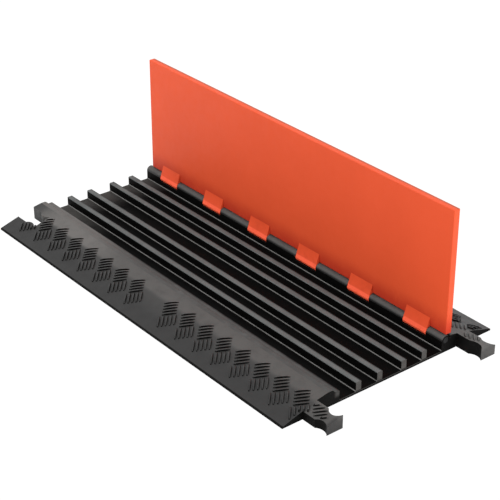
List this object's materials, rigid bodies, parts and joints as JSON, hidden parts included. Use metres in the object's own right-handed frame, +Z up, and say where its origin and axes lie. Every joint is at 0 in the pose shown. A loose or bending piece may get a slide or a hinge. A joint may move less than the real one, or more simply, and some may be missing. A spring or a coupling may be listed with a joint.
{
  "type": "cable protector ramp",
  "caption": "Low moulded floor ramp with parallel cable channels under a flat hinged lid, and tongue and socket joints that link units end to end.",
  "frame": {"origin": "centre of the base's underside, on the floor, midway along the channels and midway between the toes", "axes": "+X along the channels towards the tongue end, +Y across the ramp towards the hinge side, +Z up; the lid is at rest standing open"},
  "size_m": [0.9754, 0.5016, 0.2858],
  "materials": {
    "black_moulding": "satin moulded polyurethane with raised tread bars",
    "orange_moulding": "smooth moulded polyurethane, safety orange",
    "hinge_rod": "drawn rod",
    "rod_plug": "moulded plug"
  },
  "bodies": {
    "base": {"base": "black_moulding", "hinge_rod": "hinge_rod", "rod_plug_left": "rod_plug", "rod_plug_right": "rod_plug"},
    "lid": {"lid": "orange_moulding"}
  },
  "joints": [
    {"name": "lid_hinge", "type": "hinge", "parent": "base", "child": "lid", "pos_m": [0, 0.1325, 0.0243], "axis": [1, 0, 0], "range_deg": [0, 90]}
  ]
}
